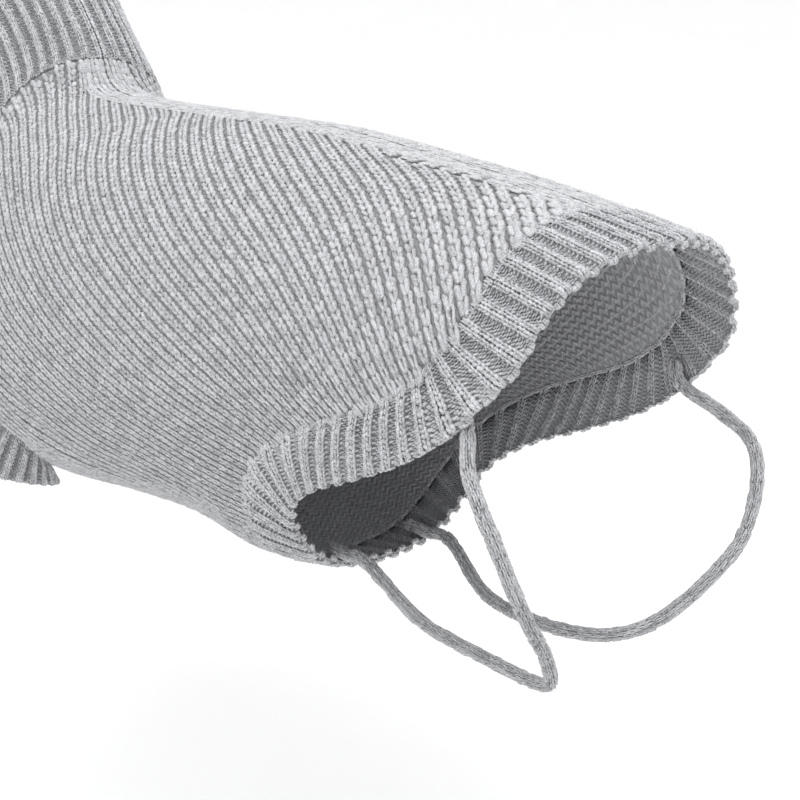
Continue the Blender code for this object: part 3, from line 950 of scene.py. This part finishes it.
def cuff_surface(side):
    """surface(place, share, lift) of a cuff, share 0 at its seam and 1 at its free edge."""
    tilt = math.radians(CUFF_END_TILT)
    centre = np.array([CUFF_END[0], side * CUFF_END[1], CUFF_END[2]])
    out = np.array([0.0, side * math.cos(tilt), math.sin(tilt)])
    along = np.array([1.0, 0.0, 0.0])
    whole = np.arange(CUFF_RIBS)
    hub = leg_ring(side, CUFF_SEAM_INSET, 0.0, whole).mean(0)

    def spokes(column):
        turn = column * 2 * math.pi / CUFF_RIBS
        return along * np.cos(turn)[..., None] + out * np.sin(turn)[..., None]

    ends = centre + CUFF_END_RADIUS * spokes(whole)
    run = np.linalg.norm(ends - leg_ring(side, CUFF_SEAM_INSET, 0.0, whole), axis=-1)

    def surface(place, share, lift=0.0, relief=1.0):
        share = np.asarray(share, float)[..., None]
        column = -side * np.asarray(place, float)
        spoke = spokes(column)
        length = np.interp(column % CUFF_RIBS, whole, run, period=CUFF_RIBS)
        flat = share[..., 0]
        height = eased(rib_height(place), flat * length, (1 - flat) * length)
        height = (lift + relief * height)[..., None]
        seam = leg_ring(side, CUFF_SEAM_INSET, 0.0, column)
        free = centre + spoke * CUFF_END_RADIUS
        push = unit(seam - hub) * (1 - share) + spoke * share
        return seam + (free - seam) * share + push * height

    return surface


# ---- hind leg loops

LINE_STEPS = 800
STRAP_WALES = 8
STRAP_COURSE = 3.1
STRAP_SIDES = 12
STRAP_RINGS = 90
STRAP_CLOTH_DEPTH = 0.55
STRAP_KNIT_DEPTH = 0.1
STRAP_TIP_RADIUS = 0.02
STRAP_ENDS = (1.2, 0.8)
PATH_EVERY = 6


def loop_points(side):
    """The whole centre line of a loop, with an end tucked under the trim at the hem and belly."""
    offset = RIB_INSIDE - 2 * SEAM_GAP - STRAP_WIDTH / 2
    hem = spline(TRIM, LOOP_HEM_ROW)
    hem_section = section_at([hem[1]], [hem[0]])[0]
    seam_section = section_at([hem[3]], [hem[2]])[0]
    width = np.linalg.norm(outside(hem_section, hem[0]) - outside(seam_section, hem[2]))
    side_end = []
    for share in (1 - STRAP_TUCK / width, 1.0):
        section = seam_section + (hem_section - seam_section) * share
        side_end.append(skin(section, hem[2] + (hem[0] - hem[2]) * share, offset))
    belly_x = np.interp(LOOP_BELLY_ANGLE, [row[0] for row in TRIM], [row[1] for row in TRIM])
    belly_section = section_at([belly_x], [LOOP_BELLY_ANGLE])[0]
    belly = skin(belly_section, LOOP_BELLY_ANGLE, offset)
    belly_end = [belly + [run, 0.0, 0.0] for run in LOOP_BELLY_RUN]
    route = np.array(LOOP_ROUTE)
    if side < 0:
        route[:, 2] += route[:, 3]
    return np.concatenate([side_end, route[:, :3], belly_end]) * [1.0, side, 1.0]


def even_points(points, spacing):
    """Points at equal steps along the smooth curve through the given ones."""
    fine = spline(points, np.linspace(0, len(points) - 1, LINE_STEPS))
    length = run_along(fine)
    marks = np.linspace(0, length[-1], int(round(length[-1] / spacing)) + 1)
    return np.stack([np.interp(marks, length, fine[:, axis]) for axis in range(3)], axis=-1)


def carried_frame(line):
    """Directions along a line, and two across it that don't twist."""
    along = unit(np.gradient(line, axis=0))
    first = unit(np.cross(along[0], [0.0, 0.0, 1.0]))
    kept = []
    for direction in along:
        first = unit(first - direction * (first * direction).sum())
        kept.append(first)
    first = np.array(kept)
    return along, first, np.cross(along, first)


def strap(side, name, cloth, yarn):
    """A hind leg loop: its cord and the knit round it, along a line with a point every mm."""
    line = even_points(loop_points(side), 1.0)
    along, first, second = carried_frame(line)
    length = len(line) - 1.0
    turn = np.arange(STRAP_SIDES) * 2 * math.pi / STRAP_SIDES
    spokes = first[:, None] * np.cos(turn)[:, None] + second[:, None] * np.sin(turn)[:, None]
    marks = np.linspace(0, len(line) - 1, STRAP_RINGS).astype(int)
    radius = np.full(len(marks), STRAP_WIDTH / 2 - STRAP_CLOTH_DEPTH)
    radius[[0, -1]] = STRAP_TIP_RADIUS
    rings = line[marks][:, None] + spokes[marks] * radius[:, None, None]
    tube = link(tube_mesh(f"{name}_cord", rings), f"{name}_cord", cloth)
    rows = np.arange(STRAP_ENDS[0], length - STRAP_ENDS[1], STRAP_COURSE)
    row, wale = [grid.ravel() for grid in np.meshgrid(rows, np.arange(STRAP_WALES), indexing="ij")]
    row = row + (wale % 2) * STRAP_COURSE / 2
    index = row.astype(int)
    angle = wale * 2 * math.pi / STRAP_WALES
    out = first[index] * np.cos(angle)[:, None] + second[index] * np.sin(angle)[:, None]
    swing = np.cross(along[index], out)
    step = 2 * math.pi * (STRAP_WIDTH / 2) / STRAP_WALES
    point = line[index] + out * (STRAP_WIDTH / 2 - STRAP_KNIT_DEPTH)
    places = Stitches(point, -swing * step, along[index] * STRAP_COURSE, out)
    knit = knit_piece(f"{name}_knit", [(places, STRAP_LEGS)], yarn, SEED + 40 + side)
    path = [[float(x) * MM for x in point] for point in line[::PATH_EVERY]]
    path.append(list(line[-1] * MM))
    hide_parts(name)
    return tube


# ---- materials

GREYS = ((0.37, 0.372, 0.382), (0.58, 0.583, 0.60), (0.77, 0.773, 0.792))
GREY_STOPS = (0.42, 0.51, 0.60)
# The darkest grey is mostly the painted shade of the cloth's outer side in the gaps between
# stitches.
INSIDE_GREYS = ((0.32, 0.324, 0.335), (0.42, 0.425, 0.44), (0.64, 0.64, 0.66))
INSIDE_STOPS = (0.12, 0.55, 0.95)
TONE_SHARE, HEATHER_SHARE, SPECKLE_SHARE, STREAK_SHARE = 0.08, 0.22, 0.56, 0.20
# A noise's scale, detail and roughness.
HEATHER, SPECKLE, STREAK = (420.0, 3.0, 0.65), (1900.0, 2.0, 0.6), (2.2, 3.0, 0.6)
INSIDE_FUZZ = (1500.0, 3.0, 0.7)
# How fast a streak changes along a grain, across it and from grain to grain.
STREAK_SCALES = (1.6, 2.6, 83.0)
ROW_WAVE = 0.26
CLOTH_ROUGHNESS, CLOTH_SPECULAR, SHEEN_ROUGHNESS = 0.95, 0.12, 0.45
# Bump strength, bump distance in metres, and sheen.
YARN_FINISH = (0.75, 0.00022, 0.18)
INSIDE_FINISH = (0.9, 0.0009, 0.2)
# The last of these darkens the yarn of the grains sunk in the gaps beside the marks: painted shade
# of those holes.
BODY_SHADE, RIB_SHADE, STRAP_SHADE, PAINTED_HOLE_SHADE = 0.88, 1.0, 0.94, 0.3


class Shading:
    """A new material, and short ways to add nodes to it."""

    def __init__(self, name, roughness, specular):
        self.material = bpy.data.materials.new(name)
        self.material.use_nodes = True
        self.nodes, self.links = self.material.node_tree.nodes, self.material.node_tree.links
        self.shader = self.nodes["Principled BSDF"].inputs
        self.shader["Roughness"].default_value = roughness
        self.shader["Specular IOR Level"].default_value = specular

    def math(self, operation, first, second=None):
        node = self.nodes.new("ShaderNodeMath")
        node.operation = operation
        for socket, value in zip(node.inputs, (first, second)):
            if isinstance(value, (int, float)):
                socket.default_value = value
            elif value is not None:
                self.links.new(value, socket)
        return node.outputs[0]

    def times(self, first, second):
        return self.math("MULTIPLY", first, second)

    def plus(self, first, second):
        return self.math("ADD", first, second)

    def noise(self, vector, scale, detail, roughness):
        node = self.nodes.new("ShaderNodeTexNoise")
        node.inputs["Scale"].default_value = scale
        node.inputs["Detail"].default_value = detail
        node.inputs["Roughness"].default_value = roughness
        self.links.new(vector, node.inputs["Vector"])
        return node.outputs["Fac"]

    def place(self):
        return self.nodes.new("ShaderNodeTexCoord").outputs["Object"]

    def attribute(self, name):
        node = self.nodes.new("ShaderNodeAttribute")
        node.attribute_name = name
        split = self.nodes.new("ShaderNodeSeparateXYZ")
        self.links.new(node.outputs["Vector"], split.inputs[0])
        return split.outputs

    def finish(self, value, stops, greys, height, strength, distance, sheen):
        """The material, with its colour from a value by a ramp, bumps from a height, and sheen."""
        node = self.nodes.new("ShaderNodeValToRGB")
        ramp = node.color_ramp
        while len(ramp.elements) < len(stops):
            ramp.elements.new(0.5)
        for element, stop, grey in zip(ramp.elements, stops, greys):
            element.position = stop
            element.color = (*grey, 1.0)
        self.links.new(value, node.inputs[0])
        self.links.new(node.outputs[0], self.shader["Base Color"])
        bump = self.nodes.new("ShaderNodeBump")
        bump.inputs["Strength"].default_value = strength
        bump.inputs["Distance"].default_value = distance
        self.links.new(height, bump.inputs["Height"])
        self.links.new(bump.outputs[0], self.shader["Normal"])
        self.shader["Sheen Weight"].default_value = sheen
        self.shader["Sheen Roughness"].default_value = SHEEN_ROUGHNESS
        return self.material


def yarn_material(name, shade):
    """Heathered yarn: each grain has its own tone, with streaks along it and pale fibres."""
    make = Shading(name, CLOTH_ROUGHNESS, CLOTH_SPECULAR)
    tone, along, across = make.attribute("yarn")
    place = make.place()
    heather = make.noise(place, *HEATHER)
    speckle = make.noise(place, *SPECKLE)
    streak_place = make.nodes.new("ShaderNodeCombineXYZ")
    for socket, value, scale in zip(streak_place.inputs, (along, across, tone), STREAK_SCALES):
        make.links.new(make.times(value, scale), socket)
    streak = make.noise(streak_place.outputs[0], *STREAK)
    mixed = make.times(tone, TONE_SHARE)
    layers = ((heather, HEATHER_SHARE), (speckle, SPECKLE_SHARE), (streak, STREAK_SHARE))
    for layer, share in layers:
        mixed = make.plus(mixed, make.times(layer, share))
    greys = [[shade * part for part in grey] for grey in GREYS]
    relief = make.plus(streak, make.times(speckle, 0.9))
    return make.finish(mixed, GREY_STOPS, greys, relief, *YARN_FINISH)


def inside_material(name):
    """The cloth under the stitches: painted shade makes it dark outside in their gaps; inside, rows
    of purl bumps with painted shade between the rows.
    """
    make = Shading(name, CLOTH_ROUGHNESS, CLOTH_SPECULAR)
    wale, course, outer = make.attribute("lattice")
    fuzzy = make.times(make.noise(make.place(), *INSIDE_FUZZ), 0.8)
    around = make.math("COSINE", make.times(wale, 2 * math.pi))
    shifted = make.plus(course, make.times(around, ROW_WAVE))
    row = make.math("COSINE", make.times(shifted, 2 * math.pi))
    relief = make.plus(make.times(row, 0.5), 0.5)
    # Painted shade: the inside's colour darkens in the troughs between its purl rows, which the
    # bumps also follow; the fuzz is the yarn's own tone.
    painted_row_shade_and_fuzz = make.plus(make.times(relief, 0.42), fuzzy)
    # Painted shade: the outer side of the cloth, seen only in the gaps between the stitches, keeps
    # 15 % of its tone.
    inner = make.math("SUBTRACT", 1.0, make.times(outer, 0.85))
    bumps = make.plus(relief, fuzzy)
    tone = make.times(painted_row_shade_and_fuzz, inner)
    return make.finish(tone, INSIDE_STOPS, INSIDE_GREYS, bumps, *INSIDE_FINISH)


# ---- camera, light and floor

CAMERA_TURN = 42.779
CAMERA_DIP = 14.059
CAMERA_ROLL = 2.946
SENSOR = 36.0
LENS_PIXELS, PHOTO_PIXELS = 1413.31, 800.0
CAMERA_LENS = LENS_PIXELS / PHOTO_PIXELS * SENSOR
CAMERA_PLACE = (-423.43, 348.73, 32.94)

# The floor and the lights are in metres.
FLOOR_Z = -0.34
FLOOR_RADIUS = 2.2
RIM_RADIUS = 1.2
WALL_TOP = 3.2
FLOOR_COLUMNS = 72
FLOOR_GREY = 0.86
SKY_POWER = 1.24
LIT_PLACE = (0.0, 0.0, -0.08)
LIGHT_COLOUR = (0.97, 0.98, 1.0)
# columns: name, place, size, power
LIGHTS = (("key", (-0.6, 1.0, 1.9), 2.0, 20.0), ("back", (0.9, -1.0, 1.8), 1.8, 9.0))


def make_camera():
    turn, dip, roll = map(math.radians, (CAMERA_TURN, CAMERA_DIP, CAMERA_ROLL))
    look = Vector((math.cos(dip) * math.cos(turn), -math.cos(dip) * math.sin(turn), -math.sin(dip)))
    right = Vector((-math.sin(turn), -math.cos(turn), 0.0))
    up = right.cross(look)
    rolled_right = right * math.cos(roll) + up * math.sin(roll)
    rolled_up = -right * math.sin(roll) + up * math.cos(roll)
    data = bpy.data.cameras.new("camera")
    data.lens = CAMERA_LENS
    data.sensor_width = SENSOR
    camera = bpy.data.objects.new("camera", data)
    bpy.context.scene.collection.objects.link(camera)
    axes = Matrix((rolled_right, rolled_up, -look)).transposed()
    camera.matrix_world = Matrix.Translation(Vector(CAMERA_PLACE) * MM) @ axes.to_4x4()
    bpy.context.scene.camera = camera


def area_light(name, place, size, power):
    data = bpy.data.lights.new(name, "AREA")
    data.shape = "SQUARE"
    data.size = size
    data.energy = power
    data.color = LIGHT_COLOUR
    light = bpy.data.objects.new(name, data)
    light.location = place
    aim = Vector(LIT_PLACE) - Vector(place)
    light.rotation_euler = aim.to_track_quat("-Z", "Y").to_euler()
    bpy.context.scene.collection.objects.link(light)


def make_stage():
    """A round pale floor whose rim curves up all round, and soft light from above."""
    profile = [(0.0, 0.0), (FLOOR_RADIUS, 0.0)]
    for degrees in range(10, 91, 10):
        lean = math.radians(degrees)
        across, rise = RIM_RADIUS * math.sin(lean), RIM_RADIUS * (1 - math.cos(lean))
        profile.append((FLOOR_RADIUS + across, rise))
    profile.append((FLOOR_RADIUS + RIM_RADIUS, WALL_TOP))
    points, faces = [], []
    for ring, (radius, rise) in enumerate(profile):
        for k in range(FLOOR_COLUMNS):
            turn = 2 * math.pi * k / FLOOR_COLUMNS
            points.append((radius * math.cos(turn), radius * math.sin(turn), rise + FLOOR_Z))
            if ring:
                high, after = ring * FLOOR_COLUMNS, (k + 1) % FLOOR_COLUMNS
                low = high - FLOOR_COLUMNS
                faces.append((low + k, low + after, high + after, high + k))
    mesh = bpy.data.meshes.new("floor")
    mesh.from_pydata(points, [], faces)
    mesh.shade_smooth()
    pale = Shading("floor", 0.9, 0.1)
    pale.shader["Base Color"].default_value = (FLOOR_GREY, FLOOR_GREY, FLOOR_GREY, 1.0)
    mesh.materials.append(pale.material)
    floor = bpy.data.objects.new("floor", mesh)
    bpy.context.scene.collection.objects.link(floor)
    world = bpy.data.worlds.new("studio")
    world.use_nodes = True
    sky = world.node_tree.nodes["Background"].inputs
    sky[0].default_value = (1.0, 1.0, 1.0, 1.0)
    sky[1].default_value = SKY_POWER
    bpy.context.scene.world = world
    for light in LIGHTS:
        area_light(*light)
    bpy.context.scene.view_settings.view_transform = "Standard"


# ---- the whole garment

LINING_TO_X = -40.0
STRIP_EDGE = 1.12
MARK_EDGE = 1.3
MARK_REACH = 2.0
MARK_TO_X = 40.0
LEG_CLEAR = 1.04
UNDERSIDE_FROM = 88.0
FLANK_FUZZ = 3.5
RIB_FUZZ = 1.0
CLOTH_SHARES = (0.0, 0.04, 0.12, 0.25, 0.5, 0.75, 0.88, 0.96, 1.0)
INSIDE_SHARES = (1.0, 0.9, 0.6, 0.3, 0.0)
COLLAR_COURSE = 2.25
INNER_COURSES = 1.35
SIDES = (("left", 1), ("right", -1))


def body_lining(grid, wales, courses, back, yarn):
    """The bumps of the stitches' backs inside the body, as far in as the hem opening shows."""
    parts = []
    flanks = [flank_stitches(grid, wales, courses, side)[0] for _, side in SIDES]
    for stitches in (*flanks, back):
        stitches = stitches.only(stitches.point[:, 0] < LINING_TO_X)
        point = stitches.point - stitches.normal * BODY_WALL
        inner = Stitches(point, stitches.wale, stitches.course, -stitches.normal)
        parts.append((inner, BACK_BUMP))
    return knit_piece("body_lining", parts, yarn, SEED + 30)


def flank_pieces(grid, wales, courses, yarn):
    """The stitches and the fibres of both flanks, clear of the leg openings and the marks."""
    pieces = []
    for name, side in SIDES:
        places, section, angle = flank_stitches(grid, wales, courses, side)
        marks = strip_stitches(0, MARK_EVERY, (side * MARK_EDGE,)).point
        marks = marks[marks[:, 0] < MARK_TO_X]
        to_mark = np.linalg.norm(places.point[:, None] - marks[None], axis=-1).min(1)
        keep = (leg_distance(section, angle) > LEG_CLEAR) & (to_mark >= MARK_REACH)
        upper = angle < UNDERSIDE_FROM
        for part, chosen in (("flank", keep & upper), ("underside", keep & ~upper)):
            parts = [(places.only(chosen), FLANK_LEGS)]
            seed = SEED + len(pieces)
            pieces.append(knit_piece(f"{name}_{part}_knit", parts, yarn, seed))
        seed = SEED + side
        fuzzy = places.only(keep)
        fuzz = fibre_piece(f"{name}_fibres", fuzzy, FLANK_FUZZ, yarn, seed)
        pieces.append(fuzz)
    return pieces


def back_pieces(back, yarn, hole_shade_yarn):
    """The strip along the back, and the fashioning marks with dark sunken grains of painted shade
    in the gaps beside them.
    """
    parts = [(back, STRIP_LEGS)]
    for first in range(1, MARK_EVERY):
        border = strip_stitches(first, MARK_EVERY, (-STRIP_EDGE, STRIP_EDGE))
        parts.append((border, STRIP_LEGS))
    gaps = []
    for edge in (-1, 1):
        marks = strip_stitches(0, MARK_EVERY, (edge * STRIP_EDGE,))
        worked = marks.point[:, 0] < MARK_TO_X
        leaning = Grain((edge * -0.55, 0.75), (edge * -0.05, -0.95), 0.24, crest=0.4)
        parts += [(marks.only(worked), [leaning]), (marks.only(~worked), STRIP_LEGS)]
        # Dark grains in the gaps beside the marks: painted shade of the holes.
        sunken = strip_stitches(0, MARK_EVERY, (edge * MARK_EDGE,))
        gaps.append((sunken.only(sunken.point[:, 0] < MARK_TO_X), [MARK_HOLE_SHADE_GRAIN]))
    return [
        knit_piece("back_knit", parts, yarn, SEED + 9, FLAT),
        knit_piece("back_mark_hole_shade", gaps, hole_shade_yarn, SEED + 10),
    ]


def ribbed(surface, ribs, name, node, cloth, yarn, flat, course=RIB_COURSE, free=1.0):
    """A ribbed piece: its cloth, and its stitches. free is the share of its free edge."""
    whole = np.arange(ribs, dtype=float)
    length = np.linalg.norm(surface(whole, np.ones(ribs)) - surface(whole, np.zeros(ribs)), axis=1)
    rings, lattice = rib_rings(surface, ribs, length.mean() / course)
    base = loft(f"{name}_cloth", rings, cloth, lattice)
    seed = SEED + len(name)
    knit = rib_rows(surface, ribs, length, course, KNIT_ROWS, KNIT_WALE)
    purl = rib_rows(surface, ribs, length, course, PURL_ROWS)
    parts = [(knit, RIB_LEGS), (purl, PURL_BAR)]
    if free == 1.0:
        picked = rib_rows(surface, ribs, length, course, FIRST_ROWS, FIRST_WALE, first=True)
        parts.append((picked, SEAM_LEGS))
    parts.append((edge_chain(surface, ribs, free, **EDGE_CHAIN), EDGE_LEGS))
    parts.append((rolled_rows(surface, ribs, free), ROLLED_LEGS))
    stitches = knit_piece(f"{name}_knit", parts, yarn, seed + ribs)
    fuzz = fibre_piece(f"{name}_fibres", knit, RIB_FUZZ, yarn, seed + 3 * ribs)

    def inside(place, share, lift=0.0):
        return surface(place, share, inner_height(place) + lift, 0.0)

    inner = rib_rows(inside, ribs, length, course * INNER_COURSES, INNER_ROWS, facing=-1.0)
    chain = edge_chain(surface, ribs, 1.0 - free, **SEAM_CHAIN)
    parts = [(inner, RIB_INNER_LEGS), (chain, SEAM_CHAIN_LEGS)]
    lining = knit_piece(f"{name}_lining", parts, yarn, seed + 2 * ribs)
    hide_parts(node)


def main():
    make_camera()
    make_stage()
    yarn = yarn_material("heather yarn", BODY_SHADE)
    rib_yarn = yarn_material("heather rib yarn", RIB_SHADE)
    strap_yarn = yarn_material("heather strap yarn", STRAP_SHADE)
    # A dark copy of the yarn, painted shade for the gaps beside the marks.
    hole_shade_yarn = yarn_material("painted hole shade yarn", PAINTED_HOLE_SHADE)
    cloth = inside_material("knit cloth")
    grid = left_grid()
    wales, courses = flank_fields(*grid)
    body = body_cloth(cloth, grid, wales, courses)
    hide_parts("body_panel")
    back = strip_stitches()
    pieces = flank_pieces(grid, wales, courses, yarn)
    pieces += back_pieces(back, yarn, hole_shade_yarn)
    pieces.append(body_lining(grid, wales, courses, back, yarn))
    looks = (cloth, rib_yarn)
    ribbed(trim_surface(), HEM_RIBS, "hem", "hem_rib", *looks, (0.50, 0.026))
    collar = collar_surface()
    ribbed(collar, COLLAR_RIBS, "collar", "collar", *looks, (0.29, 0.06), COLLAR_COURSE, 0.0)
    for name, side in SIDES:
        node = f"cuff_{name}"
        ribbed(cuff_surface(side), CUFF_RIBS, node, node, *looks, (0.15, 0.022))
        strap(side, f"leg_loop_{name}", cloth, strap_yarn)


main()
